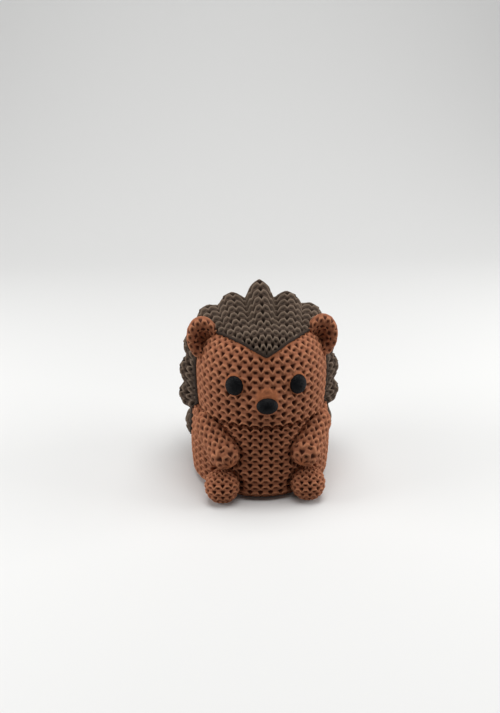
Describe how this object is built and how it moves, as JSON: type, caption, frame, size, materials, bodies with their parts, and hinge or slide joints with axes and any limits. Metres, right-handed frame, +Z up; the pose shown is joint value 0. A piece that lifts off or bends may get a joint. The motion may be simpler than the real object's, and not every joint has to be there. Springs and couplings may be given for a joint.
{
  "type": "hedgehog figurine",
  "caption": "Sitting hedgehog figurine with a knitted-look relief: brown body and face, dark quill coat, round ears, and a flat base to stand on a shelf.",
  "frame": {"origin": "centre of the torso's flat base", "axes": "+Z up, -Y the way the face looks, +X the figurine's own left"},
  "size_m": [0.0622, 0.071, 0.0746],
  "materials": {
    "body_brown": "matte, knitted relief",
    "coat_taupe": "matte, knitted relief",
    "eye_black": "satin black",
    "dowel_natural": "plain"
  },
  "bodies": {
    "root": {"torso": "body_brown", "head": "body_brown", "left_ear": "body_brown", "right_ear": "body_brown", "left_arm": "body_brown", "right_arm": "body_brown", "left_foot": "body_brown", "right_foot": "body_brown", "quill_coat": "coat_taupe", "left_eye": "eye_black", "right_eye": "eye_black", "nose": "eye_black", "neck_dowel": "dowel_natural", "coat_dowels": "dowel_natural"}
  },
  "joints": []
}
